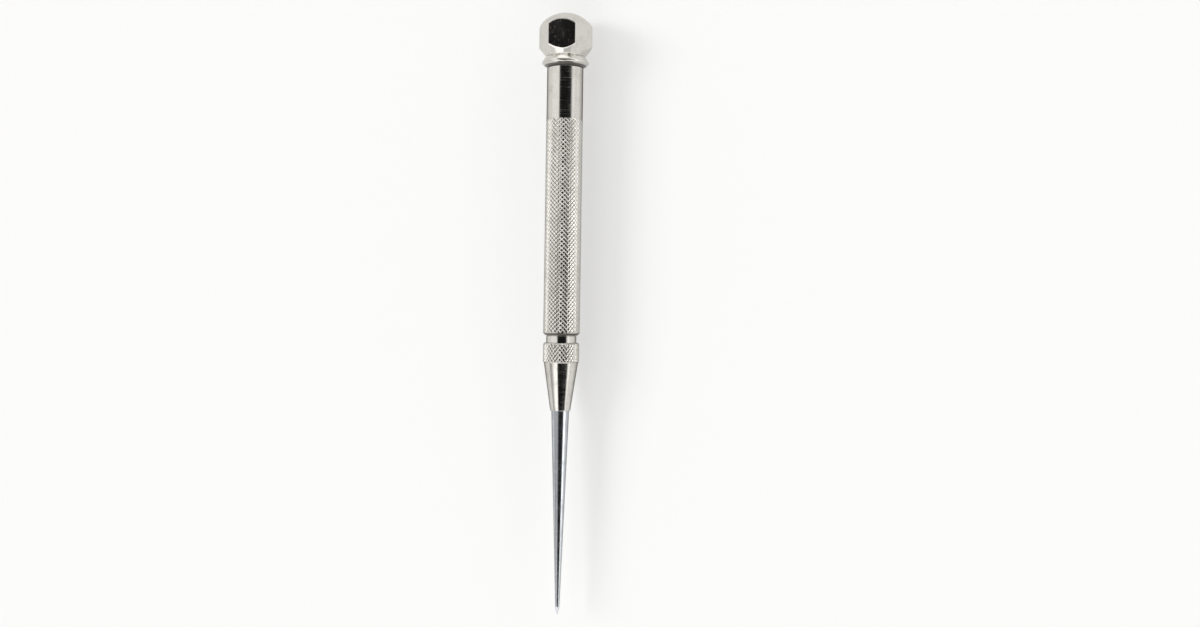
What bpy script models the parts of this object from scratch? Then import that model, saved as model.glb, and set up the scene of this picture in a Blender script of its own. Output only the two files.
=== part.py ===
"""Pocket scriber: a hollow handle with a domed hexagon head, a split-collet chuck
and a hardened point that can be drawn out, turned round and stowed in the handle.

Everything is turned on one axis. Sizes are in millimetres here and in metres in the
model. Stations are distances from the tip, along the axis, towards the head.
The tool lies on one flat of its head, with the tip towards -Y.
"""

import math

import bmesh
import bpy
from mathutils import Matrix

MM = 0.001

# How finely round things are cut
FACETS = 64
EDGE_STEPS = 4
COLLAR_STEPS = 8
CROWN_STEPS = 10

# Fits
SLIDE_CLEARANCE = 0.10
PRESS_CLEARANCE = 0.06
SEAT_GAP = 0.10

# Point
SHANK_DIAMETER = 4.76
POINT_REACH = 54.9
SHANK_LENGTH = 26.1
TIP_LENGTH = 2.3
TIP_DIAMETER = 1.15
TIP_FLAT = 0.12
BUTT_LENGTH = 2.75
BUTT_ROUND = 0.3
BUTT_DRAFT = 0.2
GROOVE_WIDTH = 1.05
GROOVE_DEPTH = 0.37

# Collet
COLLET_WALL = 0.54
COLLET_RELIEF = 0.18
JAW_LENGTH = 4.9
JAW_WALL = 0.87
JAW_NECK_LENGTH = 3.0
SLOT_WIDTH = 0.5
SLOT_LENGTH = 12.5

# Chuck body
NECK_LENGTH = 1.95
NECK_WALL = 0.96
THREAD_WALL = 0.86
THREAD_CHAMFER = 0.35
TAIL_WALL = 0.6
TAIL_LENGTH = 12.0
TAIL_CHAMFER = 0.25
COLLET_POCKET = 11.1

# Chuck nut
NUT_LENGTH = 18.25
NUT_BAND_LENGTH = 5.1
NUT_BAND_WALL = 0.82
NUT_BAND_STEP = 0.28
NUT_EDGE_ROUND = 0.6
NUT_THREAD_DEPTH = 4.75
NUT_LEAD_IN = 1.2
NUT_NECK_CLEARANCE = 0.15
NOSE_LIP = 0.21
NOSE_ROUND = 0.15
MOUTH_LENGTH = 2.3
NECK_OVERLAP = 0.6
THREAD_END_GAP = 0.5
JAW_BACK_GAP = 2.0

# Handle tube
TUBE_LENGTH = 71.75
TUBE_WALL = 1.12
TUBE_FOOT_CHAMFER = 0.6
TUBE_TOP_CHAMFER = 0.15
PLAIN_SLEEVE_LENGTH = 14.05
KNURL_RISE = 0.05

# Head
HEX_ACROSS_FLATS = 12.6
HEX_LENGTH = 5.15
CROWN_HEIGHT = 4.0
BLANK_MARGIN = 0.1
HEAD_CONE_ANGLE = 39.2
WAIST_DIAMETER = 10.6
COLLAR_DIAMETER = 12.58
COLLAR_FLARE_LENGTH = 1.8
COLLAR_UNDERCUT = 1.15
COLLAR_ROUND = 0.5
SPIGOT_LENGTH = 8.6
SPIGOT_CHAMFER = 0.4

# Radii that follow from the sizes above, from the point outwards
shank_radius = SHANK_DIAMETER / 2
grip_radius = shank_radius + PRESS_CLEARANCE
guide_radius = shank_radius + SLIDE_CLEARANCE
collet_radius = grip_radius + COLLET_WALL
pocket_radius = collet_radius + SLIDE_CLEARANCE
thread_radius = pocket_radius + THREAD_WALL
neck_radius = pocket_radius + NECK_WALL
tail_radius = pocket_radius + TAIL_WALL
bore_radius = tail_radius + PRESS_CLEARANCE
tube_radius = bore_radius + TUBE_WALL
nut_thread_radius = thread_radius + SLIDE_CLEARANCE
nut_lead_in_radius = neck_radius + NUT_NECK_CLEARANCE
band_radius = nut_thread_radius + NUT_BAND_WALL
nose_radius = guide_radius + NOSE_LIP
hex_apothem = HEX_ACROSS_FLATS / 2

# Stations that follow from the lengths above, from the tip to the head
nose_station = POINT_REACH
butt_station = POINT_REACH + SHANK_LENGTH
nut_top_station = nose_station + NUT_LENGTH
nut_step_station = nut_top_station - NUT_BAND_LENGTH
nut_shoulder_station = nut_top_station - NUT_THREAD_DEPTH
body_foot_station = nut_shoulder_station + THREAD_END_GAP
neck_foot_station = nut_top_station - NECK_OVERLAP
tube_foot_station = nut_top_station + NECK_LENGTH
tube_top_station = tube_foot_station + TUBE_LENGTH
body_top_station = tube_foot_station + TAIL_LENGTH
pocket_station = body_foot_station + COLLET_POCKET
collet_top_station = pocket_station - SEAT_GAP
jaw_back_station = body_foot_station - JAW_BACK_GAP
jaw_tip_station = jaw_back_station - JAW_LENGTH
head_seat_station = tube_top_station + SEAT_GAP
waist_station = head_seat_station + COLLAR_UNDERCUT + COLLAR_FLARE_LENGTH


def clear_scene():
    """Start from an empty scene."""
    for leftover in list(bpy.data.objects):
        bpy.data.objects.remove(leftover, do_unlink=True)


def metal(name, colour, roughness):
    """A plain metal with one colour."""
    material = bpy.data.materials.new(name)
    material.use_nodes = True
    shader = material.node_tree.nodes["Principled BSDF"]
    shader.inputs["Base Color"].default_value = (*colour, 1.0)
    shader.inputs["Metallic"].default_value = 1.0
    shader.inputs["Roughness"].default_value = roughness
    return material


def arc(centre, radius, first_angle, last_angle, steps=EDGE_STEPS):
    """Points of an arc as (radius, station), angles in degrees from straight outwards."""
    points = []
    for step in range(steps + 1):
        angle = math.radians(first_angle + (last_angle - first_angle) * step / steps)
        points.append((centre[0] + radius * math.cos(angle), centre[1] + radius * math.sin(angle)))
    return points


def turned(name, outline, seat_station, material, axis_empty, hollow=False):
    """Turn an outline of (radius, station) points round the axis into one solid.

    The outline of a solid piece starts and ends on the axis; a hollow one is a closed loop.
    """
    shape = bmesh.new()
    corners = [shape.verts.new((radius * MM, 0.0, (station - seat_station) * MM))
               for radius, station in outline]
    edges = [shape.edges.new(pair) for pair in zip(corners, corners[1:])]
    if hollow:
        edges.append(shape.edges.new((corners[-1], corners[0])))
    bmesh.ops.spin(shape, geom=corners + edges, cent=(0, 0, 0), axis=(0, 0, 1),
                   angle=math.tau, steps=FACETS, use_merge=True)
    bmesh.ops.remove_doubles(shape, verts=shape.verts, dist=MM * 0.001)
    bmesh.ops.recalc_face_normals(shape, faces=shape.faces)
    mesh = bpy.data.meshes.new(name)
    shape.to_mesh(mesh)
    shape.free()
    mesh.shade_smooth()
    mesh.set_sharp_from_angle(angle=math.radians(25))
    mesh.materials.append(material)
    piece = bpy.data.objects.new(name, mesh)
    bpy.context.scene.collection.objects.link(piece)
    piece.parent = axis_empty
    piece.location.z = seat_station * MM
    return piece


def cutter(name, shape, station, piece):
    """Make a cutting tool from a bmesh and cut it out of a piece."""
    mesh = bpy.data.meshes.new(name)
    shape.to_mesh(mesh)
    shape.free()
    tool = bpy.data.objects.new(name, mesh)
    bpy.context.scene.collection.objects.link(tool)
    tool.parent = piece.parent
    tool.location.z = station * MM
    tool.hide_render = True
    tool.display_type = "WIRE"
    cut = piece.modifiers.new(name, "BOOLEAN")
    cut.operation = "DIFFERENCE"
    cut.solver = "EXACT"
    cut.object = tool


def make_point(axis_empty):
    """Hardened point: ground tip, long taper, straight shank and grooved butt."""
    groove_top = butt_station - BUTT_LENGTH
    groove_foot = groove_top - GROOVE_WIDTH
    groove_radius = shank_radius - GROOVE_DEPTH
    butt_radius = shank_radius - BUTT_DRAFT
    outline = [(0.0, butt_station)]
    outline += reversed(arc((butt_radius - BUTT_ROUND, butt_station - BUTT_ROUND), BUTT_ROUND, 0, 90))
    outline += [(shank_radius, groove_top)]
    outline += [(groove_radius, groove_top)]
    outline += [(groove_radius, groove_foot)]
    outline += [(shank_radius, groove_foot)]
    outline += [(shank_radius, nose_station)]
    outline += [(TIP_DIAMETER / 2, TIP_LENGTH)]
    outline += [(TIP_FLAT / 2, 0.0)]
    outline += [(0.0, 0.0)]
    steel = metal("hardened_steel", (0.50, 0.52, 0.55), 0.28)
    return turned("scriber_point", outline, nose_station, steel, axis_empty)


def closing_taper_radius(station):
    """Radius of the nut's inner taper, from its mouth to the back of the jaws."""
    mouth_top = nose_station + MOUTH_LENGTH
    back_radius = grip_radius + JAW_WALL + SLIDE_CLEARANCE
    slope = (back_radius - guide_radius) / (jaw_back_station - mouth_top)
    return guide_radius + (station - mouth_top) * slope


def make_collet(axis_empty):
    """Split sleeve: a plain tail backed by the chuck body and four tapered jaws."""
    tail_foot = jaw_back_station + JAW_NECK_LENGTH
    relieved_radius = collet_radius - COLLET_RELIEF
    jaw_back_radius = closing_taper_radius(jaw_back_station) - SLIDE_CLEARANCE
    jaw_tip_radius = closing_taper_radius(jaw_tip_station) - SLIDE_CLEARANCE
    jaw_shoulder = jaw_back_station + jaw_back_radius - relieved_radius
    outline = [(collet_radius - COLLET_RELIEF, collet_top_station)]
    outline += [(collet_radius, collet_top_station - COLLET_RELIEF)]
    outline += [(collet_radius, tail_foot + COLLET_RELIEF)]
    outline += [(relieved_radius, tail_foot)]
    outline += [(relieved_radius, jaw_shoulder)]
    outline += [(jaw_back_radius, jaw_back_station)]
    outline += [(jaw_tip_radius, jaw_tip_station)]
    outline += [(grip_radius, jaw_tip_station)]
    outline += [(grip_radius, collet_top_station)]
    steel = metal("spring_steel", (0.42, 0.41, 0.40), 0.35)
    collet = turned("collet", outline, collet_top_station, steel, axis_empty, hollow=True)
    for number, turn in enumerate((0, 90), start=1):
        saw = bmesh.new()
        blade = (4 * jaw_back_radius * MM, SLOT_WIDTH * MM, 2 * SLOT_LENGTH * MM)
        place = Matrix.Rotation(math.radians(turn), 4, "Z") @ Matrix.Diagonal((*blade, 1.0))
        bmesh.ops.create_cube(saw, size=1.0, matrix=place)
        cutter(f"collet_saw_cut_{number}", saw, jaw_tip_station, collet)
    return collet


def make_chuck_body(axis_empty):
    """Bushing: a tail pressed into the tube, a bare neck and the thread for the nut."""
    shoulder = tube_foot_station - SEAT_GAP
    outline = [(tail_radius - TAIL_CHAMFER, body_top_station)]
    outline += [(tail_radius, body_top_station - TAIL_CHAMFER)]
    outline += [(tail_radius, shoulder)]
    outline += [(neck_radius, shoulder)]
    outline += [(neck_radius, neck_foot_station)]
    outline += [(thread_radius, neck_foot_station - (neck_radius - thread_radius))]
    outline += [(thread_radius, body_foot_station + THREAD_CHAMFER)]
    outline += [(thread_radius - THREAD_CHAMFER, body_foot_station)]
    outline += [(pocket_radius, body_foot_station)]
    outline += [(pocket_radius, pocket_station)]
    outline += [(guide_radius, pocket_station)]
    outline += [(guide_radius, body_top_station)]
    nickel = metal("nickel_plate_chuck_body", (0.60, 0.58, 0.55), 0.2)
    return turned("chuck_body", outline, tube_foot_station, nickel, axis_empty, hollow=True)


def make_chuck_nut(axis_empty):
    """Nut: knurled band, long smooth cone and an inner taper that closes the jaws."""
    cone_top_radius = band_radius - NUT_BAND_STEP
    mouth_top = nose_station + MOUTH_LENGTH
    lead_in_foot = nut_top_station - NUT_LEAD_IN
    edge_centre = (band_radius - NUT_EDGE_ROUND, nut_top_station - NUT_EDGE_ROUND)
    nose_centre = (nose_radius - NOSE_ROUND, nose_station + NOSE_ROUND)
    outline = list(reversed(arc(edge_centre, NUT_EDGE_ROUND, 0, 90)))
    outline += [(band_radius, nut_step_station)]
    outline += [(cone_top_radius, nut_step_station - NUT_BAND_STEP)]
    outline += arc(nose_centre, NOSE_ROUND, 0, -90)
    outline += [(guide_radius, nose_station)]
    outline += [(guide_radius, mouth_top)]
    outline += [(closing_taper_radius(nut_shoulder_station), nut_shoulder_station)]
    outline += [(nut_thread_radius, nut_shoulder_station)]
    outline += [(nut_thread_radius, lead_in_foot)]
    outline += [(nut_lead_in_radius, lead_in_foot + nut_lead_in_radius - nut_thread_radius)]
    outline += [(nut_lead_in_radius, nut_top_station)]
    nickel = metal("nickel_plate_nut", (0.62, 0.60, 0.57), 0.2)
    return turned("chuck_nut", outline, nut_top_station, nickel, axis_empty, hollow=True)


def make_handle_tube(axis_empty):
    """Hollow handle: plain sleeve under the head, rolled knurl standing a little proud."""
    knurl_radius = tube_radius + KNURL_RISE
    knurl_top = tube_top_station - PLAIN_SLEEVE_LENGTH
    outline = [(tube_radius - TUBE_TOP_CHAMFER, tube_top_station)]
    outline += [(tube_radius, tube_top_station - TUBE_TOP_CHAMFER)]
    outline += [(tube_radius, knurl_top)]
    outline += [(knurl_radius, knurl_top - KNURL_RISE)]
    outline += [(knurl_radius, tube_foot_station + TUBE_FOOT_CHAMFER)]
    outline += [(knurl_radius - TUBE_FOOT_CHAMFER, tube_foot_station)]
    outline += [(bore_radius, tube_foot_station)]
    outline += [(bore_radius, tube_top_station)]
    nickel = metal("nickel_plate_tube", (0.62, 0.60, 0.57), 0.22)
    return turned("handle_tube", outline, tube_foot_station, nickel, axis_empty, hollow=True)


def hexagon_former(low_station, high_station):
    """A thick six-sided ring whose inside leaves the head's six flats."""
    inner_radius = hex_apothem / math.cos(math.pi / 6)
    outer_radius = 2 * inner_radius
    upright = Matrix.Rotation(math.pi / 6, 4, "Z")
    shape = bmesh.new()
    bmesh.ops.create_circle(shape, radius=inner_radius * MM, segments=6, matrix=upright)
    bmesh.ops.create_circle(shape, radius=outer_radius * MM, segments=6, matrix=upright)
    ring = bmesh.ops.bridge_loops(shape, edges=shape.edges[:])["faces"]
    raised = bmesh.ops.extrude_face_region(shape, geom=ring)["geom"]
    raised_corners = [item for item in raised if isinstance(item, bmesh.types.BMVert)]
    bmesh.ops.translate(shape, verts=raised_corners, vec=(0, 0, (high_station - low_station) * MM))
    bmesh.ops.recalc_face_normals(shape, faces=shape.faces)
    return shape


def tangent_angle(centre, radius, corner, side):
    """Angle of the point on a round where a straight line to a corner leaves it, in degrees."""
    across, along = corner[0] - centre[0], corner[1] - centre[1]
    bearing = math.atan2(along, across)
    opening = math.acos(radius / math.hypot(across, along))
    return math.degrees(bearing - side * opening)


def make_hex_head(axis_empty):
    """Head: spigot in the tube, flared collar, waist, cone, six flats and domed crown."""
    spigot_foot = head_seat_station - SPIGOT_LENGTH
    waist_radius = WAIST_DIAMETER / 2
    blank_radius = hex_apothem / math.cos(math.pi / 6) + BLANK_MARGIN
    cone_top = waist_station + (blank_radius - waist_radius) / math.tan(math.radians(HEAD_CONE_ANGLE))
    crown_foot = cone_top + HEX_LENGTH
    crown_top = crown_foot + CROWN_HEIGHT
    crown_radius = (blank_radius ** 2 + CROWN_HEIGHT ** 2) / (2 * CROWN_HEIGHT)
    crown_foot_angle = math.degrees(math.asin((crown_radius - CROWN_HEIGHT) / crown_radius))
    collar_middle = (COLLAR_DIAMETER / 2 - COLLAR_ROUND, head_seat_station + COLLAR_UNDERCUT)
    flare_angle = tangent_angle(collar_middle, COLLAR_ROUND, (waist_radius, waist_station), 1)
    undercut_angle = tangent_angle(collar_middle, COLLAR_ROUND, (tube_radius, head_seat_station), -1)
    crown = arc((0.0, crown_top - crown_radius), crown_radius, 90, crown_foot_angle, CROWN_STEPS)
    outline = [(0.0, crown_top)]
    outline += crown[1:]
    outline += [(blank_radius, cone_top)]
    outline += [(waist_radius, waist_station)]
    outline += arc(collar_middle, COLLAR_ROUND, flare_angle, undercut_angle, COLLAR_STEPS)
    outline += [(tube_radius, head_seat_station)]
    outline += [(tail_radius, head_seat_station)]
    outline += [(tail_radius, spigot_foot + SPIGOT_CHAMFER)]
    outline += [(tail_radius - SPIGOT_CHAMFER, spigot_foot)]
    outline += [(0.0, spigot_foot)]
    nickel = metal("nickel_plate_head", (0.62, 0.60, 0.57), 0.14)
    head = turned("hex_head", outline, head_seat_station, nickel, axis_empty)
    former_low = waist_station
    former_high = crown_top + CROWN_HEIGHT
    cutter("hexagon_former", hexagon_former(former_low, former_high), former_low, head)
    return crown_top


def main():
    """Build the tool on an axis that lies along Y, resting on a flat of the head."""
    clear_scene()
    axis_empty = bpy.data.objects.new("tool_axis", None)
    bpy.context.scene.collection.objects.link(axis_empty)
    axis_empty.rotation_euler.x = -math.pi / 2
    overall_length = make_hex_head(axis_empty)
    axis_empty.location = (0.0, -overall_length / 2 * MM, hex_apothem * MM)
    make_handle_tube(axis_empty)
    make_chuck_body(axis_empty)
    make_collet(axis_empty)
    make_chuck_nut(axis_empty)
    make_point(axis_empty)
    bpy.context.view_layer.update()
    print(f"overall length {overall_length:.2f} mm, tube {2 * tube_radius:.2f} mm")


main()
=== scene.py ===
# %% [markdown]
# # A pocket scriber
# A machinist's scriber: a knurled, nickel-plated handle with a hexagon head, a small collet chuck
# and a long steel point. The packed frame gives every solid its true place. This lesson turns all
# of them but the hidden collet again, finely enough for mirror-bright metal, and gives them their
# finishes, light and view.

# %% Load the frame
import math

import bmesh
import bpy
import numpy as np
from mathutils import Matrix, Vector


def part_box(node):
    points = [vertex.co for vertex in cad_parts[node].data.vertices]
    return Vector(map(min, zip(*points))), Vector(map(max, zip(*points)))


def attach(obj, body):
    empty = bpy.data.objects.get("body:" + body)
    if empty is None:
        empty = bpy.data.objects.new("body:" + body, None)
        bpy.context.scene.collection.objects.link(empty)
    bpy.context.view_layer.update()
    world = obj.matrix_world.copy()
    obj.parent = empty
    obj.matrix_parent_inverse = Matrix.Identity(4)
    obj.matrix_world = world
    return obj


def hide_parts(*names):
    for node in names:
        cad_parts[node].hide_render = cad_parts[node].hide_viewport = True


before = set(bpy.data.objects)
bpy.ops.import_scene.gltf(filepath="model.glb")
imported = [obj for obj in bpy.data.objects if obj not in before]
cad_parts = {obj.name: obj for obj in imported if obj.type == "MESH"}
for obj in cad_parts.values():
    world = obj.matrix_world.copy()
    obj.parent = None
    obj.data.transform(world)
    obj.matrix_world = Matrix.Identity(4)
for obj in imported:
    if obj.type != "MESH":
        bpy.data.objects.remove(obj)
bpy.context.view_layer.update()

# %% [markdown]
# ## Stations along one axis
# A lathe hand measures everything from one end. Here a station is a distance from the tip, in
# millimetres, and a radius is a distance from the axis. Every place could be typed in, but it would
# be wrong as soon as a solid moves. So the ends and the largest radius of each piece come from the
# boxes of the frame's nodes, and the pieces below land on the solids that they stand for.

# %% Measure the frame
MM = 0.001
tip_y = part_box("scriber_point")[0].y
axis_height = sum(corner.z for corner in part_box("chuck_nut")) / 2


def place_y(station):
    """Place of a station in the frame, in metres."""
    return tip_y + station * MM


def stations(node):
    """First and last station of a node."""
    low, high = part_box(node)
    return (low.y - tip_y) / MM, (high.y - tip_y) / MM


def outer_radius(node):
    """Largest radius of a turned node."""
    low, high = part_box(node)
    return (high.x - low.x) / 2 / MM


nose, nut_top = stations("chuck_nut")
tube_foot, tube_top = stations("handle_tube")
body_foot, body_top = stations("chuck_body")
spigot_foot, crown_top = stations("hex_head")
butt = stations("scriber_point")[1]
print(f"nose {nose:.2f}, nut top {nut_top:.2f}, tube {tube_foot:.2f} to {tube_top:.2f}, top {crown_top:.2f}")

# %% [markdown]
# ## A lathe in code
# Every piece of this tool is turned. An outline of (radius, station, corner round) goes round the
# axis. Real edges are never dead sharp, so each corner can carry a small round: it is what catches
# the light. A Bevel modifier could round the finished mesh, but it would round the fine knurl too,
# so the rounds are drawn in the outline. A polished surface also shows every wrong normal, so long
# straight runs get an extra ring near both ends, which keeps the shading of a round out of them.


# %% Outlines with rounded corners
def rounded(corners, steps=5):
    """Replace each (radius, station, round) corner by an arc of that round."""
    points = []
    for index, (radius, station, edge) in enumerate(corners):
        here = Vector((radius, station))
        if edge <= 0:
            points.append(tuple(here))
            continue
        before = (Vector(corners[index - 1][:2]) - here).normalized()
        after = (Vector(corners[(index + 1) % len(corners)][:2]) - here).normalized()
        half_angle = before.angle(after) / 2
        reach = edge / math.tan(half_angle)
        middle = here + (before + after).normalized() * edge / math.sin(half_angle)
        first = here + before * reach - middle
        last = here + after * reach - middle
        sweep = first.angle_signed(last)
        for step in range(steps + 1):
            turn = Matrix.Rotation(-sweep * step / steps, 2)
            points.append(tuple(middle + turn @ first))
    return points


square = [(1.0, 0.0, 0.2), (1.0, 1.0, 0.2), (0.0, 1.0, 0.2), (0.0, 0.0, 0.2)]
print("a square with round corners has", len(rounded(square)), "points")


# %% Rings that hold the shading
def with_support(points, closed=True, margin=0.06):
    """Add a point close to both ends of each long straight run."""
    result = []
    count = len(points) if closed else len(points) - 1
    for index in range(count):
        start, end = Vector(points[index]), Vector(points[(index + 1) % len(points)])
        result.append(tuple(start))
        if (end - start).length > 6 * margin:
            along = (end - start).normalized() * margin
            result += [tuple(start + along), tuple(end - along)]
    if not closed:
        result.append(points[-1])
    return result


print("and with support", len(with_support(rounded(square))))


# %% Rings and faces
def evenly(count):
    """Angles of that many columns round the axis."""
    return [math.tau * step / count for step in range(count)]


def ring_points(shape, radius, station, angles):
    """The points of one ring, or the one point of a ring on the axis."""
    if radius < 1e-6:
        return [shape.verts.new((0.0, place_y(station), axis_height))]
    places = [(radius * MM * math.sin(a), place_y(station), axis_height + radius * MM * math.cos(a))
              for a in angles]
    return [shape.verts.new(place) for place in places]


def poke_middles(shape, inmost, foot, top):
    """Give each face beyond a radius and between two stations a point in its middle."""
    chosen = []
    for face in shape.faces:
        middle = face.calc_center_median()
        reach = math.hypot(middle.x, middle.z - axis_height) / MM
        if reach > inmost and foot < (middle.y - tip_y) / MM < top:
            chosen.append(face)
    bmesh.ops.poke(shape, faces=chosen)


print("columns of a ring of eight:", [round(math.degrees(a)) for a in evenly(8)])

# %% The lathe
SHARP_ANGLE = math.radians(32)


def turned(name, outline, angles, closed=True, knurled=None):
    """Turn an outline of (radius, station) points round the tool's axis into one piece.

    A part that will be knurled is given as its inmost radius and its two stations.
    """
    shape = bmesh.new()
    rings = [ring_points(shape, radius, station, angles) for radius, station in outline]
    pairs = list(zip(rings, rings[1:]))
    if closed:
        pairs.append((rings[-1], rings[0]))
    for ring, following in pairs:
        for step in range(len(angles)):
            after = (step + 1) % len(angles)
            corners = [ring[step % len(ring)], ring[after % len(ring)],
                       following[after % len(following)], following[step % len(following)]]
            shape.faces.new(list(dict.fromkeys(corners)))
    if knurled:
        poke_middles(shape, *knurled)
    bmesh.ops.recalc_face_normals(shape, faces=shape.faces)
    mesh = bpy.data.meshes.new(name)
    shape.to_mesh(mesh)
    shape.free()
    mesh.shade_smooth()
    mesh.set_sharp_from_angle(angle=SHARP_ANGLE)
    piece = bpy.data.objects.new(name, mesh)
    bpy.context.scene.collection.objects.link(piece)
    return piece


print(f"edges of more than {math.degrees(SHARP_ANGLE):.0f} degrees stay sharp")

# %% [markdown]
# ## Nodes as sums
# Materials and Geometry Nodes are both node trees. Wiring them by hand hides the sum that is meant,
# so a wire here can be added, multiplied and so on like a number, and each step adds its Math node.
# Every other kind of node comes from one method.


# %% A socket that makes nodes
class Socket:
    """An output socket in a node tree, from which further nodes are made."""

    def __init__(self, tree, socket):
        self.tree = tree
        self.socket = socket

    def node(self, kind, settings=None, inputs=None, output=0):
        """Add a node: first its settings, then the values or links of its sockets."""
        made = self.tree.nodes.new(kind)
        for key, value in (settings or {}).items():
            setattr(made, key, value)
        for key, value in (inputs or {}).items():
            if isinstance(value, Socket):
                self.tree.links.new(value.socket, made.inputs[key])
            else:
                made.inputs[key].default_value = value
        return type(self)(self.tree, made.outputs[output] if len(made.outputs) else None)

    def beside(self, output):
        """Another output of the same node."""
        return type(self)(self.tree, self.socket.node.outputs[output])


print("a socket offers", ", ".join(name for name in vars(Socket) if not name.startswith("_")))


# %% A wire that can be reckoned with
class Wire(Socket):
    """A socket that is used in sums like a number."""

    def sum(self, operation, *values):
        """A Math node on these values."""
        return self.node("ShaderNodeMath", {"operation": operation}, dict(enumerate(values)))

    def __add__(self, other):
        return self.sum("ADD", self, other)

    def __sub__(self, other):
        return self.sum("SUBTRACT", self, other)

    def __mul__(self, other):
        return self.sum("MULTIPLY", self, other)

    def __truediv__(self, other):
        return self.sum("DIVIDE", self, other)

    def __rsub__(self, other):
        return self.sum("SUBTRACT", other, self)

    def __rtruediv__(self, other):
        return self.sum("DIVIDE", other, self)

    __radd__ = __add__
    __rmul__ = __mul__

    def __abs__(self):
        return self.sum("ABSOLUTE", self)

    def smaller(self, other):
        """The smaller of two values."""
        return self.sum("MINIMUM", self, other)

    def larger(self, other):
        """The larger of two values."""
        return self.sum("MAXIMUM", self, other)

    def above(self, other):
        """1 where this value is larger than the other."""
        return self.sum("GREATER_THAN", self, other)

    def fraction(self):
        """What is left of the value past its last whole number."""
        return self.sum("FRACT", self)

    def ramp(self, low, high, smooth=True):
        """0 below low, 1 above high."""
        settings = {"interpolation_type": "SMOOTHSTEP" if smooth else "LINEAR", "clamp": True}
        return self.node("ShaderNodeMapRange", settings, {"Value": self, "From Min": low, "From Max": high})

    def window(self, start, full, fading, end):
        """1 from full to fading, and 0 before start and past end."""
        return self.ramp(start, full) * (1 - self.ramp(fading, end))

    def between(self, first, second):
        """A colour that goes from the first to the second as this value goes from 0 to 1."""
        return self.node("ShaderNodeMix", {"data_type": "RGBA"}, {0: self, 6: first, 7: second}, output=2)


print("a wire also offers", ", ".join(name for name in vars(Wire) if not name.startswith("_")))

# %% [markdown]
# ## A tree for knurling
# A knurl is pressed by two wheels that leave two families of slanting grooves. Where they cross,
# small diamonds stand. One way is to model a diamond and place it more than two thousand times.
# Here the turned skin gets six rings and six columns to a diamond instead, with a point in the
# middle of each face, and the tree sinks each point by the rule of the grooves. So the edges of the
# diamonds fall on edges of the mesh, and the knurl stays one closed skin with the tube. The tree
# also leaves the depth of each point in an attribute, where the finish lays its dirt and painted shade.


# %% Start and end of a tree
SOCKET_KINDS = {"Material": "NodeSocketMaterial", "Seed": "NodeSocketInt"}


def new_tree(name, inputs):
    """An empty Geometry Nodes tree with named inputs; returns it with its input wire."""
    tree = bpy.data.node_groups.new(name, "GeometryNodeTree")
    tree.interface.new_socket("Geometry", in_out="INPUT", socket_type="NodeSocketGeometry")
    tree.interface.new_socket("Geometry", in_out="OUTPUT", socket_type="NodeSocketGeometry")
    for label in inputs:
        kind = SOCKET_KINDS.get(label, "NodeSocketFloat")
        tree.interface.new_socket(label, in_out="INPUT", socket_type=kind)
    return tree, Wire(tree, tree.nodes.new("NodeGroupInput").outputs[0])


def close_tree(given, geometry):
    """End a tree in Realize Instances and Set Material."""
    real = given.node("GeometryNodeRealizeInstances", inputs={"Geometry": geometry})
    coated = given.node("GeometryNodeSetMaterial",
                        inputs={"Geometry": real, "Material": given.beside("Material")})
    given.node("NodeGroupOutput", inputs={0: coated})


print("inputs of their own kind:", ", ".join(SOCKET_KINDS))

# %% What both trees share
DEPTH_MARK = "groove"


def axis_frame(given):
    """Wires for a point's turn round the axis, its place along it, its radius and its way out."""
    x = given.node("ShaderNodeSeparateXYZ", inputs={0: given.node("GeometryNodeInputPosition")})
    along = x.beside("Y")
    height = x.beside("Z") - given.beside("Axis Height")
    turn = x.sum("ARCTAN2", x, height) / math.tau
    radius = x.sum("SQRT", x * x + height * height)
    outwards = given.node("ShaderNodeCombineXYZ", inputs={"X": x / radius, "Z": height / radius})
    return turn, along, radius, outwards


def band_of(given, along, radius, smooth):
    """1 between foot and top and further out than the skin, fading at both ends."""
    start = (along - given.beside("Foot")) / given.beside("Fade")
    stop = (given.beside("Top") - along) / given.beside("Fade")
    return start.smaller(stop).ramp(0.0, 1.0, smooth) * radius.above(given.beside("Skin"))


def pressed_in(given, outwards, sunk, depth):
    """Sink each point by its share of a depth, and keep the share as an attribute."""
    offset = given.node("ShaderNodeVectorMath", {"operation": "SCALE"},
                        {0: outwards, "Scale": 0 - sunk * depth})
    moved = given.node("GeometryNodeSetPosition", inputs={"Geometry": given, "Offset": offset})
    return given.node("GeometryNodeStoreNamedAttribute", {"data_type": "FLOAT", "domain": "POINT"},
                      {"Geometry": moved, "Name": DEPTH_MARK, "Value": sunk})


print("depth is kept in the attribute", DEPTH_MARK)

# %% Knurl tree
knurl_tree, given = new_tree("Knurl", ["Axis Height", "First Ring", "Foot", "Top", "Fade", "Skin", "Around",
                                       "Pitch", "Depth", "Crown", "Roof", "Unevenness", "Seed", "Material"])
turn, along, radius, outwards = axis_frame(given)
turns = turn * given.beside("Around")
rise = (along - given.beside("First Ring")) / given.beside("Pitch")
right_groove = 1 - abs((turns + rise).fraction() * 2 - 1)
left_groove = 1 - abs((turns - rise).fraction() * 2 - 1)
diamond = right_groove.smaller(left_groove)
crowned = diamond.smaller(given.beside("Crown")) / given.beside("Crown")
roof = given.beside("Roof")
band = band_of(given, along, radius, smooth=False)
sunk = ((1 - crowned) * (1 - roof) + (1 - diamond) * roof) * band
uneven = given.node("ShaderNodeTexNoise", {"noise_dimensions": "4D"},
                    {"Vector": given.node("GeometryNodeInputPosition"), "W": given.beside("Seed"),
                     "Scale": 420.0, "Detail": 2.0})
depth = given.beside("Depth") * (1 + (uneven - 0.5) * given.beside("Unevenness"))
grooved = pressed_in(given, outwards, sunk, depth)
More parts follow.
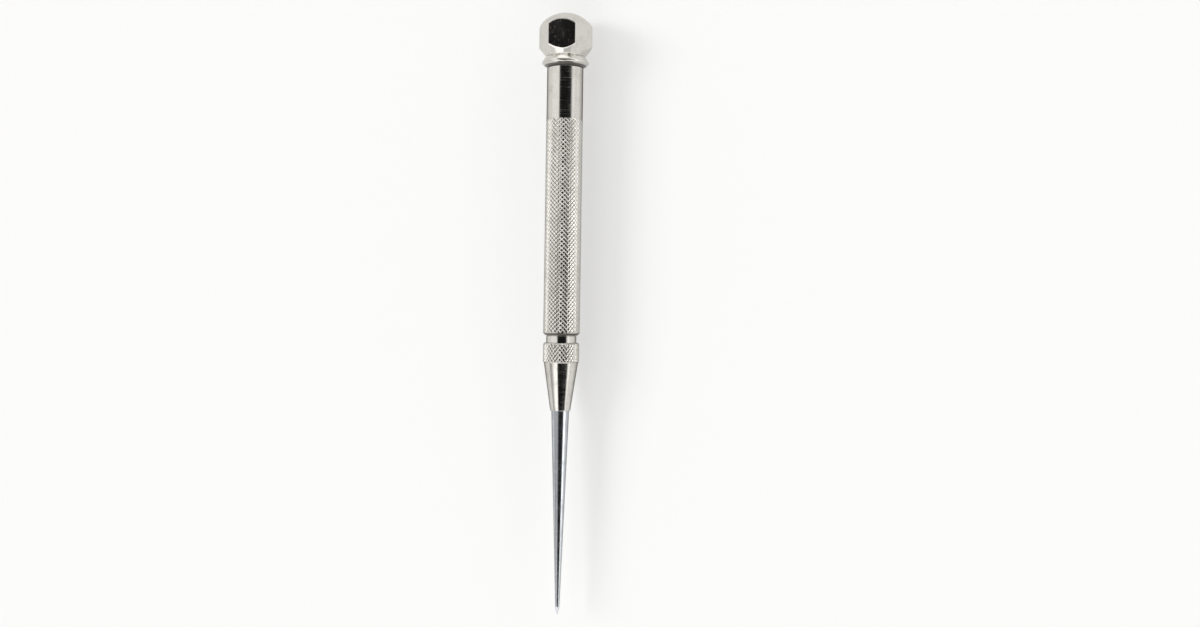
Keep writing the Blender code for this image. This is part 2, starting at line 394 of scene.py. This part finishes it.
crisp = given.node("GeometryNodeSetShadeSmooth", {"domain": "FACE"},
                   {0: grooved, 1: band.above(0.5), 2: False})
close_tree(given, crisp)
print("knurl tree:", len(knurl_tree.nodes), "nodes")


# %% Run a tree over a piece
def shaped(piece, tree, values):
    """Run a tree over a piece and keep the result as its plain mesh."""
    modifier = piece.modifiers.new(tree.name, "NODES")
    modifier.node_group = tree
    for socket in tree.interface.items_tree:
        if socket.in_out == "INPUT" and socket.name in values:
            modifier[socket.identifier] = values[socket.name]
    evaluated = piece.evaluated_get(bpy.context.evaluated_depsgraph_get())
    plain = bpy.data.meshes.new_from_object(evaluated)
    piece.modifiers.remove(modifier)
    rough = piece.data
    piece.data = plain
    bpy.data.meshes.remove(rough)
    plain.name = piece.name


def dressed(piece, material, body, node):
    """Give a piece its finish and let it stand for a node of the frame."""
    piece.data.materials.clear()
    piece.data.materials.append(material)
    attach(piece, body)
    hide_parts(node)
    triangles = sum(len(face.vertices) - 2 for face in piece.data.polygons)
    print(f"{piece.name}: {triangles} triangles on {body}")


# %% [markdown]
# ## Nickel plate
# Nickel is a warm, slightly yellow white metal. On a tool that has been carried for years it keeps
# its mirror, but with fine lines left by the lathe, a veil of handling that blurs it in patches,
# hair scratches, small dark pits, and brown dirt deep in the knurl, which is also painted shade in
# its grooves. The seams get the same painted shade. Where dirt and painted shade lie, the surface
# stops being a mirror. A photo of metal could be laid on as a texture, but it would need a map for
# each piece. Here every mark is reckoned from the piece's own coordinates, centred on the axis, so
# the lines run round the work wherever it is seen from.


# %% Marks on metal
def noise(place, scale=1.0, detail=1.0, roughness=0.5):
    """Cloudy values from 0 to 1."""
    return place.node("ShaderNodeTexNoise", inputs={
        "Vector": place, "Scale": scale, "Detail": detail, "Roughness": roughness})


def grain(place, per_metre):
    """Coordinates in which noise makes about that many marks a metre along x, y and z."""
    return place.node("ShaderNodeVectorMath", {"operation": "MULTIPLY"}, {0: place, 1: per_metre})


# Grain per metre of the hair scratches, the lathe's lines, the veil and the pits
ROUND_THE_WORK = (90, 9000, 90)
ALONG_THE_BAR = (6000, 600, 6000)
LINE_SPREAD = 60
VEIL_SCALE = 260.0
PIT_SCALE = 2600.0
# Where each mark begins to show and where it is full
VEILED = (0.42, 0.68)
RARE = (0.66, 0.74)
DEEP = (0.88, 0.99)
# How strongly each mark shows
PIT_COVER = 0.35
DIRT_AND_SHADE_COVER = 0.9
DIRT_AND_SHADE_ROUGHNESS = 0.2
VEIL_SHARE = 0.6
VEIL_HEIGHT = 0.5
BUMP_STRENGTH = 0.6
print(f"dirt shows from {DEEP[0]:.0%} of a groove's depth and hides up to {DIRT_AND_SHADE_COVER:.0%} of the metal")


# %% A recipe for metal
def metal(name, bright, dull, dirt, edge, roughness, line_width, line_height, scratches,
          hairs=ROUND_THE_WORK):
    """Lines round the axis, a patchy veil, hair scratches, pits, and dirt with painted shade where the
    groove mark is high.
    """
    material = bpy.data.materials.new(name)
    material.use_nodes = True
    tree = material.node_tree
    shader = tree.nodes["Principled BSDF"]
    shader.inputs["Specular Tint"].default_value = (*edge, 1.0)
    place = Wire(tree, tree.nodes.new("ShaderNodeTexCoord").outputs["Object"])
    centred = place.node("ShaderNodeMapping", inputs={"Vector": place, "Location": (0, 0, -axis_height)})
    lines = noise(grain(centred, (LINE_SPREAD, 1 / line_width, LINE_SPREAD)), detail=3.0, roughness=0.7)
    veil = noise(centred, VEIL_SCALE, detail=4.0, roughness=0.6)
    patch = veil.ramp(*VEILED)
    pits = noise(centred, PIT_SCALE).ramp(*RARE)
    scratch = noise(grain(centred, hairs)).ramp(*RARE)
    deep = place.node("ShaderNodeAttribute", {"attribute_name": DEPTH_MARK}, output="Fac").ramp(*DEEP)
    colour = patch.between((*bright, 1.0), (*dull, 1.0))
    colour = (pits * PIT_COVER).between(colour, (*dirt, 1.0))
    # Where the groove mark is high, in the knurl's grooves and at the seams, the colour goes to brown dirt
    # with painted shade and the metal goes dull.
    colour = (deep * DIRT_AND_SHADE_COVER).between(colour, (*dirt, 1.0))
    smoothest, roughest = roughness
    worn = smoothest + (roughest - smoothest) * (patch * VEIL_SHARE + lines * (1 - VEIL_SHARE))
    bump = place.node("ShaderNodeBump", inputs={
        "Height": lines + veil * VEIL_HEIGHT, "Distance": line_height, "Strength": BUMP_STRENGTH})
    surface = {"Base Color": colour, "Metallic": 1 - deep * DIRT_AND_SHADE_COVER, "Normal": bump,
               "Roughness": worn + deep * DIRT_AND_SHADE_ROUGHNESS + scratch * scratches}
    for socket, wire in surface.items():
        tree.links.new(wire.socket, shader.inputs[socket])
    print(f"{name}: {len(tree.nodes)} nodes")
    return material


# %% Nickel
# The edge tint is kept low, so the rims of each nickel piece mirror darker: a painted dark reflection at the
# silhouettes.
nickel = metal("nickel_plate", bright=(0.68, 0.66, 0.625), dull=(0.61, 0.59, 0.55),
               dirt=(0.045, 0.038, 0.03), edge=(0.15, 0.148, 0.145), roughness=(0.09, 0.19),
               line_width=0.22 * MM, line_height=0.0012 * MM, scratches=0.18)

# %% [markdown]
# ## Painted shade at the seams
# Where one piece is pressed on another, under the collar and at the foot of the tube, a dark line of
# shade is what parts the pieces to the eye. A dark ring could be modelled there, but here the shade
# is painted: the points next to a seam get the same dark mark that the knurl's grooves have.


# %% Painted shade at a seam
SEAM_SHADE_STEEPNESS = 3.0


def seam_painted_shade(piece, station, reach):
    """Paint a dark band of shade on a piece within a reach of a seam."""
    marks = piece.data.attributes
    groove = marks.get(DEPTH_MARK) or marks.new(DEPTH_MARK, "FLOAT", "POINT")
    dirty = 0
    for corner in piece.data.vertices:
        away = abs((corner.co.y - tip_y) / MM - station)
        mark = groove.data[corner.index]
        mark.value = max(mark.value, min(1.0, SEAM_SHADE_STEEPNESS * (1.0 - away / reach)))
        dirty += away < reach
    print(f"{piece.name}: {dirty} points near the seam")


# %% [markdown]
# ## The handle tube
# Steel tube with a plain sleeve under the head and a long knurl below it, which ends in a chamfer.
# The bore is real too, because the point slides up into it. Sleeve and knurl could be two meshes
# that overlap, but then the skin wouldn't be closed, so one outline takes in both. It has a ring for
# each sixth of a diamond, where the tree needs its points, and few elsewhere.

# %% Handle tube
steps_per_diamond = 6
knurl_diamonds = 26
knurl_pitch = 1.17
sleeve_length = 14.05
sleeve_radius = 4.86
bore_radius = 3.74
foot_chamfer = 0.6
foot_margin = 0.8
top_chamfer = 0.15
crest_radius = outer_radius("handle_tube")
knurl_top = tube_top - sleeve_length
knurl_foot = tube_foot + foot_chamfer
knurl_rings = int((knurl_top - tube_foot - foot_margin) / (knurl_pitch / steps_per_diamond))
corners = [(sleeve_radius - top_chamfer, tube_top, 0.0), (sleeve_radius, tube_top - top_chamfer, 0.08)]
corners += [(sleeve_radius, knurl_top + 0.06, 0.0)]
corners += [(crest_radius, knurl_top - ring * knurl_pitch / steps_per_diamond, 0.0)
            for ring in range(knurl_rings + 1)]
corners += [(crest_radius, knurl_foot, 0.06), (crest_radius - foot_chamfer, tube_foot, 0.06)]
corners += [(bore_radius, tube_foot, 0.0), (bore_radius, tube_top, 0.0)]
tube = turned("tube_skin", with_support(rounded(corners, steps=7)),
              evenly(knurl_diamonds * steps_per_diamond),
              knurled=(sleeve_radius - 0.5, knurl_foot, knurl_top))
print("diamonds on the handle:", round(2 * knurl_diamonds * (knurl_top - knurl_foot) / knurl_pitch))


# %% Knurl of the handle
def knurled(piece, first_ring, foot, top, fade, skin, around, pitch, depth):
    """Press a knurl into a piece between two stations, beyond the radius of its skin."""
    shaped(piece, knurl_tree, {
        "Axis Height": axis_height, "First Ring": place_y(first_ring), "Foot": place_y(foot),
        "Top": place_y(top), "Fade": fade * MM, "Skin": skin * MM, "Around": float(around),
        "Pitch": pitch * MM, "Depth": depth * MM, "Crown": 1 / 3, "Roof": 0.4, "Unevenness": 0.25,
        "Seed": 7, "Material": nickel})


knurled(tube, knurl_top, knurl_foot, knurl_top + 0.05, fade=0.35, skin=bore_radius * 1.1,
        around=knurl_diamonds, pitch=knurl_pitch, depth=0.14)
# Painted shade at the tube's foot, where it meets the neck.
seam_painted_shade(tube, tube_foot, 0.9)
dressed(tube, nickel, "handle", "handle_tube")

# %% [markdown]
# ## The hexagon head
# The head is cut from hexagon bar: a domed crown, six flats that keep the tool from rolling, a cone
# down to a waist and a flared collar that sits on the tube. A turned blank with six flats can be
# made with Booleans, but the arcs where dome and flat meet would stay razor sharp. Here each point
# of the turned blank moves in to the hexagon by a soft minimum, which rolls those edges a little.
# The flats were drawn, not turned, so the hair scratches of this finish run along the bar.

# %% Stations of the head
hex_apothem = axis_height / MM
blank_radius = hex_apothem / math.cos(math.pi / 6) + 0.1
crown_height = 4.0
hex_length = 5.15
cone_slope = math.tan(math.radians(39.2))
crown_radius = (blank_radius ** 2 + crown_height ** 2) / (2 * crown_height)
crown_foot = crown_top - crown_height
cone_top = crown_foot - hex_length
waist_radius = 5.30
waist_top = cone_top - (blank_radius - waist_radius) / cone_slope
head_seat = waist_top - 2.95
collar_corner = (6.473, head_seat + 0.98)
spigot_radius = 3.68
spigot_chamfer = 0.4
print(f"dome {crown_radius:.2f}, cone from {cone_top:.2f}, waist {waist_top:.2f}, seat {head_seat:.2f}")


# %% Outline of the head
def spread(first, last, count):
    """Points from the first to just before the last."""
    return [tuple(Vector(first).lerp(Vector(last), step / count)) for step in range(count)]


def crown_points(first_angle, last_angle, count):
    """Points on the dome, angles in degrees above straight out."""
    middle = crown_top - crown_radius
    return [(crown_radius * math.cos(math.radians(a)), middle + crown_radius * math.sin(math.radians(a)))
            for a in np.linspace(first_angle, last_angle, count, endpoint=False)]


dome_end = math.degrees(math.asin((crown_foot - crown_top + crown_radius) / crown_radius))
cut_station = cone_top - (blank_radius - hex_apothem) / cone_slope
below_cut = (hex_apothem - 0.15, cut_station - 0.18)
seat_edge = (sleeve_radius, head_seat)
outline = [(0.0, crown_top)] + crown_points(89, 44, 16) + crown_points(44, dome_end, 30)
outline += spread((blank_radius, crown_foot), (blank_radius, cone_top), 8)
outline += spread((blank_radius, cone_top), below_cut, 24)
waist = [(*below_cut, 0.0), (waist_radius, waist_top, 0.1), (*collar_corner, 0.5), (*seat_edge, 0.0)]
outline += with_support(rounded(waist, steps=8)[:-1], closed=False)
outline += spread(outline[-1], seat_edge, 8)[1:]
outline += [seat_edge, (spigot_radius, head_seat), (spigot_radius, spigot_foot + spigot_chamfer)]
outline += [(spigot_radius - spigot_chamfer, spigot_foot), (0.0, spigot_foot)]
print("outline of the head:", len(outline), "points")

# %% Turn the head
columns_per_flat = 40
crowding = 0.65
sector = np.linspace(-1, 1, columns_per_flat, endpoint=False)
crowded = 1.5 * sector - 0.5 * sector ** 3
sector = ((1 - crowding) * sector + crowding * crowded) * math.pi / 6
head_angles = [flat * math.pi / 3 + a for flat in range(6) for a in sector]
head = turned("hexagon_head", outline, head_angles, closed=False)
print("columns are closest near the edges:", [round(math.degrees(a), 2) for a in sector[:4]])


# %% Six flats
edge_round = 0.1
arc_round = 0.22
untouched_radius = hex_apothem - 0.4


def soft_minimum(first, second, edge):
    """The smaller of two lengths, rounded where they are nearly equal."""
    overlap = max(edge - abs(first - second), 0.0) / edge
    return min(first, second) - overlap * overlap * edge / 4


def drawn_in(x, z):
    """How much a point of the blank moves in to the hexagon, as a factor."""
    reach = math.hypot(x, z)
    nearest = (math.atan2(x, z) + math.pi / 6) % (math.pi / 3) - math.pi / 6
    beside = math.pi / 3 - abs(nearest)
    flat = soft_minimum(hex_apothem / math.cos(nearest), hex_apothem / math.cos(beside), edge_round)
    return soft_minimum(reach, flat, arc_round) / reach


moved = 0
for corner in head.data.vertices:
    x, z = corner.co.x / MM, (corner.co.z - axis_height) / MM
    if math.hypot(x, z) > untouched_radius:
        factor = drawn_in(x, z)
        corner.co.x *= factor
        corner.co.z = axis_height + (corner.co.z - axis_height) * factor
        moved += 1
print("points moved in to the flats:", moved)

# %% Finish of the head
head_nickel = metal("polished_nickel", bright=(0.66, 0.64, 0.605), dull=(0.60, 0.58, 0.54),
                    dirt=(0.035, 0.03, 0.024), edge=(0.9, 0.9, 0.89), roughness=(0.08, 0.17),
                    line_width=0.3 * MM, line_height=0.0012 * MM, scratches=0.16, hairs=ALONG_THE_BAR)
# Painted shade under the collar, where the head sits on the tube.
seam_painted_shade(head, head_seat, 0.7)
dressed(head, head_nickel, "handle", "hex_head")

# %% [markdown]
# ## The chuck body and its thread
# A bushing is pressed into the tube. Between tube and nut its bare neck shows, and when the nut is
# slackened, a turn or two of thread comes into view. A thread could be a profile swept along a
# helix, but it is a rule too: the radius rises and falls once for each lead along the axis, and the
# ridge climbs once a turn. So a tree like the knurl's cuts it into the turned bushing.

# %% Thread tree
thread_tree, given = new_tree("Thread", ["Axis Height", "Foot", "Top", "Fade", "Skin", "Lead", "Depth",
                                         "Material"])
turn, along, radius, outwards = axis_frame(given)
phase = (along - given.beside("Foot")) / given.beside("Lead") - turn
ridge = abs(phase.fraction() * 2 - 1)
sunk = band_of(given, along, radius, smooth=True) * (1 - ridge.ramp(0.1, 0.9, smooth=False))
close_tree(given, pressed_in(given, outwards, sunk, given.beside("Depth")))
print("thread tree:", len(thread_tree.nodes), "nodes")

# %% Chuck body
thread_lead = 0.794
thread_radius = 3.94
thread_depth = 0.38
thread_rings = 44
end_chamfer = 0.35
press_chamfer = 0.25
neck_radius = outer_radius("chuck_body")
neck_foot = nut_top - 0.6
neck_top = tube_foot - 0.1
thread_top = neck_foot - 0.1
pocket_radius = 3.08
guide_radius = 2.48
pocket_station = body_foot + 11.1
thread_step = (thread_top - body_foot - end_chamfer) / thread_rings
corners = [(spigot_radius - press_chamfer, body_top, 0.0), (spigot_radius, body_top - press_chamfer, 0.0)]
corners += [(spigot_radius, neck_top, 0.0), (neck_radius, neck_top, 0.12), (neck_radius, neck_foot, 0.03)]
corners += [(thread_radius, thread_top - ring * thread_step, 0.0) for ring in range(thread_rings + 1)]
corners += [(thread_radius - end_chamfer, body_foot, 0.0), (pocket_radius, body_foot, 0.0)]
corners += [(pocket_radius, pocket_station, 0.0), (guide_radius, pocket_station, 0.0)]
corners += [(guide_radius, body_top, 0.0)]
body = turned("chuck_bushing", with_support(rounded(corners)), evenly(96))
shaped(body, thread_tree, {
    "Axis Height": axis_height, "Foot": place_y(body_foot), "Top": place_y(neck_foot), "Fade": 0.3 * MM,
    "Skin": (pocket_radius + 0.5) * MM, "Lead": thread_lead * MM, "Depth": thread_depth * MM,
    "Material": nickel})
dressed(body, nickel, "handle", "chuck_body")

# %% [markdown]
# ## The chuck nut
# A knurled band to grip and a long, smooth cone. The diamonds are a little narrower and longer than
# the handle's, and their grooves run out over the step to the cone. A Boolean could bore the nut
# afterwards. Here the outline goes on round the inside instead: the bore for the thread, and the
# taper that closes the collet, so that its mouth is a true hole when the point is drawn out.

# %% Chuck nut
nut_diamonds = 31
nut_pitch = 1.28
nut_rings = 20
band_radius = outer_radius("chuck_nut")
band_foot = nut_top - 5.1
first_ring = nut_top - 0.62
band_step = 0.28
cone_radius = band_radius - band_step
knurl_floor = cone_radius - 0.3
nose_radius = 2.69
mouth_length = 2.3
thread_bore = 4.04
entry_bore = 4.19
nut_shoulder = nut_top - 4.75
taper_slope = 0.0959
taper_top_radius = guide_radius + (nut_shoulder - nose - mouth_length) * taper_slope
corners = [(entry_bore, nut_top, 0.05), (band_radius, nut_top, 0.58)]
corners += [(band_radius, first_ring - ring * nut_pitch / steps_per_diamond, 0.0)
            for ring in range(nut_rings + 1)]
corners += [(band_radius, band_foot, 0.0), (cone_radius, band_foot - band_step, 0.1)]
corners += [(nose_radius, nose, 0.15), (guide_radius, nose, 0.05), (guide_radius, nose + mouth_length, 0.0)]
corners += [(taper_top_radius, nut_shoulder, 0.0), (thread_bore, nut_shoulder, 0.0)]
corners += [(thread_bore, nut_top - 1.2, 0.0), (entry_bore, nut_top - 1.05, 0.0)]
nut = turned("knurled_nut", with_support(rounded(corners)), evenly(nut_diamonds * steps_per_diamond),
             knurled=(knurl_floor, band_foot - 0.3, nut_top - 0.1))
knurled(nut, first_ring, band_foot - 0.2, nut_top - 0.02, fade=0.3, skin=knurl_floor,
        around=nut_diamonds, pitch=nut_pitch, depth=0.13)
dressed(nut, nickel, "chuck_nut", "chuck_nut")

# %% [markdown]
# ## The point
# Hardened tool steel, ground between centres: a straight shank with a groove near its butt, a long
# taper and a short, steeper tip. Steel is cooler and greyer than nickel, and grinding leaves it less
# of a mirror. It could have a material of its own kind, but the marks are of the same kind as on
# nickel, so its finish takes the same recipe with other numbers.

# %% Scriber point
# The low edge tint darkens the rims of the point: a painted dark reflection.
tool_steel = metal("ground_steel", bright=(0.57, 0.59, 0.62), dull=(0.48, 0.50, 0.53),
                   dirt=(0.12, 0.12, 0.13), edge=(0.2, 0.2, 0.2), roughness=(0.17, 0.3),
                   line_width=0.12 * MM, line_height=0.0015 * MM, scratches=0.06)
shank_radius = outer_radius("scriber_point")
groove_radius = shank_radius - 0.37
groove_top = butt - 2.75
groove_foot = groove_top - 1.05
tip_length = 2.3
tip_radius = 0.575
corners = [(0.0, butt, 0.0), (shank_radius - 0.2, butt, 0.3), (shank_radius, groove_top, 0.05)]
corners += [(groove_radius, groove_top, 0.08), (groove_radius, groove_foot, 0.08)]
corners += [(shank_radius, groove_foot, 0.05), (shank_radius, nose, 6.0)]
corners += [(tip_radius, tip_length, 1.5), (0.06, 0.0, 0.03), (0.0, 0.0, 0.0)]
point = turned("steel_point", with_support(rounded(corners), closed=False), evenly(96), closed=False)
dressed(point, tool_steel, "point", "scriber_point")

# %% [markdown]
# ## The collet
# The split collet hides inside the nut. It could be turned and slit here as well, but its solid
# already has its four jaws and saw cuts, so the frame's own node stays and only gets its finish:
# turned spring steel with a little oil on it.

# %% Collet
spring_steel = metal("oiled_spring_steel", bright=(0.44, 0.43, 0.42), dull=(0.33, 0.32, 0.31),
                     dirt=(0.10, 0.09, 0.08), edge=(0.9, 0.9, 0.9), roughness=(0.25, 0.4),
                     line_width=0.2 * MM, line_height=0.003 * MM, scratches=0.1)
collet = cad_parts["collet"]
collet.data.materials.clear()
collet.data.materials.append(spring_steel)
print("collet keeps its solid")

# %% [markdown]
# ## Floor
# A pale sheet under the tool. A plain white sheet would need so much light to look white that the
# metal would burn out. Here, seen by the camera and in the metal, nearly half of it is its own
# light; the rest is plain diffuse white, which takes the lamp's light and the tool's soft shadow.

# %% Floor
floor_reach = 9.0
floor_drop = 0.02 * MM
own_light = 0.47
floor_corners = [(x * floor_reach, y * floor_reach, -floor_drop)
                 for x, y in ((-1, -1), (1, -1), (1, 1), (-1, 1))]
floor_mesh = bpy.data.meshes.new("floor")
floor_mesh.from_pydata(floor_corners, [], [(0, 1, 2, 3)])
floor = bpy.data.objects.new("floor", floor_mesh)
bpy.context.scene.collection.objects.link(floor)
paper = bpy.data.materials.new("pale_paper")
paper.use_nodes = True
paper_nodes = paper.node_tree.nodes
paper_nodes.remove(paper_nodes["Principled BSDF"])
ray = Wire(paper.node_tree, paper_nodes.new("ShaderNodeLightPath").outputs["Is Camera Ray"])
seen = ray.larger(ray.beside("Is Glossy Ray")).larger(ray.beside("Is Transmission Ray"))
white = ray.node("ShaderNodeBsdfDiffuse", inputs={"Color": (0.9, 0.9, 0.89, 1.0)})
glow = ray.node("ShaderNodeEmission", inputs={"Color": (1.0, 1.0, 0.99, 1.0), "Strength": 1.0})
sheet = ray.node("ShaderNodeMixShader", inputs={0: seen * own_light, 1: white, 2: glow})
paper.node_tree.links.new(sheet.socket, paper_nodes["Material Output"].inputs["Surface"])
floor_mesh.materials.append(paper)
print(f"floor {2 * floor_reach:.0f} m wide, {floor_drop / MM:.2f} mm under the tool")

# %% [markdown]
# ## Light
# Polished metal shows its surroundings, so the light is a pale tent with a dark gap overhead, where
# the camera looks in. The gap is what draws the black stripe down every turned piece. Area lamps
# could stand in for the walls, but each has hard ends that the metal would show, so the tent is the
# world itself: its brightness is a sum of soft ramps over the direction, as east, north and up.

# %% Directions
world = bpy.data.worlds.new("light_tent")
bpy.context.scene.world = world
world.use_nodes = True
tent = world.node_tree
way = Wire(tent, tent.nodes.new("ShaderNodeTexCoord").outputs["Generated"])
east = way.node("ShaderNodeSeparateXYZ", inputs={0: way})
north, up = east.beside("Y"), east.beside("Z")
print(f"{world.name}: brightness by direction, {len(tent.nodes)} nodes to start with")

# %% [markdown]
# ## Belts of the tent
# A photographer sets the walls of a tent for one part of a product at a time. One even wall would
# be simpler, but a turned piece mirrors only a narrow belt of the tent, set by how its side leans.
# The sleeve mirrors a belt a little to the north, the cone and the point mirror belts to the south,
# and the crowns of the knurl that slant towards the head look further north. So the walls can
# differ from belt to belt, and each piece gets the stripes that suit it. The numbers of a ramp are
# the directions where it begins and where it is full, from -1 (west, south or down) to 1 (east,
# north or up).

# %% Belts
near_side = 1 - north.ramp(-0.16, -0.06)
cone_belt = 1 - north.ramp(-0.29, -0.26)
point_belt = north.window(-0.28, -0.25, -0.16, -0.06)
flank_belt = north.window(-0.28, -0.25, -0.1, -0.04)
crown_belt = north.ramp(0.23, 0.29)
outward = abs(east).ramp(0.35, 0.55)
print("nodes for the belts:", len(tent.nodes))

# %% [markdown]
# ## Walls of the tent
# The left wall comes much further in over the tool than the right one, so the black stripe lies to
# the right of the middle. The far wall shows in the collar and in the crowns of the knurl that slant
# towards the head, the near wall in the cone under the head and in the crowns that slant towards
# the tip. A strip across the far side and a small lamp low on the right add the last glints, on the
# collar and along the right edge of the point. The walls could be added up, but then their corners
# would burn out, so the brightest one counts in each direction.

# %% Left and right walls
left_edge = -0.38 - north * 0.35 + crown_belt * 0.16 + point_belt * 0.05
into_left = left_edge - east
left_strip = cone_belt * (1 - into_left.ramp(0.3, 0.6))
left_wall = into_left.ramp(-0.1, 0.06) * (1.04 - near_side * 0.5 + left_strip * 1.1 - point_belt * 0.2)
right_edge = 0.82 + point_belt * 0.05 + cone_belt * 0.05 - crown_belt * 0.26
right_wall = (east - right_edge).ramp(-0.12, 0.06)
right_wall = right_wall * (1.05 + near_side * up.ramp(0.15, 0.4) * 0.5 + flank_belt * 1.2)
print("nodes with the side walls:", len(tent.nodes))

# %% Far and near walls
far_rim = 0.47 - east.ramp(0.2, 0.5) * 0.05
far_wall = north.ramp(0.38, 0.5) * (far_rim - up).ramp(-0.06, 0.06) * (1.5 + outward * 0.6)
near_rim = 0.75
near_wall = (0 - north).ramp(0.4, 0.52) * (near_rim - up).ramp(-0.06, 0.06)
near_wall = near_wall * (0.66 + outward.larger(up.ramp(0.42, 0.55)) * 1.25)
back_lamp = north.window(0.42, 0.46, 0.52, 0.58) * (1 - abs(east).ramp(0.25, 0.5)) * 1.8
wall = left_wall.larger(right_wall).larger(far_wall).larger(near_wall).larger(back_lamp)
print("nodes with all walls:", len(tent.nodes))

# %% The tent as a whole
gap_light = 0.01
backdrop_light = 0.92
overhead = up.ramp(0.18, 0.3)
low_lamp = north.window(-0.22, -0.19, -0.08, -0.04) * east.ramp(0.86, 0.92) * up.ramp(-0.02, 0.04)
shine = (gap_light + wall) * overhead + (1 - overhead) * backdrop_light + low_lamp * 0.9
cloth = way.node("ShaderNodeBackground", inputs={"Color": (1.0, 0.995, 0.985, 1.0), "Strength": shine})
tent.links.new(cloth.socket, tent.nodes["World Output"].inputs["Surface"])
bpy.context.scene.view_settings.view_transform = "Standard"
print("nodes of the tent:", len(tent.nodes))

# %% [markdown]
# ## Lamp
# In a tent alone the tool would cast hardly any shadow and seem to float. One wide, soft lamp from
# the left lays a pale shadow to the right of it. An area lamp would light the near side of the floor
# more than the far side, so it is a sun lamp, whose light is even. The metal doesn't mirror it, so
# the stripes are the tent's alone.

# %% Lamp
soft_lamp = bpy.data.lights.new("soft_lamp", "SUN")
soft_lamp.energy = 1.8
soft_lamp.angle = math.radians(22)
lamp = bpy.data.objects.new("soft_lamp", soft_lamp)
lamp_side = Vector((-0.84, 0.15, 0.52))
lamp.rotation_euler = lamp_side.to_track_quat("Z", "Y").to_euler()
lamp.visible_glossy = False
bpy.context.scene.collection.objects.link(lamp)
print(f"lamp {math.degrees(math.asin(lamp_side.normalized().z)):.0f} degrees above the floor")

# %% [markdown]
# ## Camera
# The tool is seen from above, head up, from a little to its right. The camera leans by less than a
# degree and stands to the right of the axis. A camera without perspective would be simpler, but
# from near by the head, which stands higher, looks a little larger, and its underside shows.

# %% Camera
picture_width = 322.4
distance = 340.0
roll = math.radians(8.5)
lean = math.radians(0.86)
axis_offset = 10.3
aim_station = 80.97
right = Vector((math.cos(roll), 0.0, -math.sin(roll)))
towards = Vector((math.sin(roll), 0.0, math.cos(roll)))
picture_up = Vector((0.0, 1.0, 0.0)) * math.cos(lean) - right * math.sin(lean)
picture_right = picture_up.cross(towards)
aim = Vector((0.0, place_y(aim_station), axis_height)) + picture_right * axis_offset * MM
lens = bpy.data.cameras.new("camera")
lens.sensor_width = 36.0
lens.lens = lens.sensor_width * distance / picture_width
lens.clip_start = 0.01
camera = bpy.data.objects.new("camera", lens)
turned_view = Matrix((picture_right, picture_up, towards)).transposed().to_4x4()
camera.matrix_world = Matrix.Translation(aim + towards * distance * MM) @ turned_view
bpy.context.scene.collection.objects.link(camera)
bpy.context.scene.camera = camera
print(f"camera {distance:.0f} mm away, lens {lens.lens:.1f} mm")

# %% [markdown]
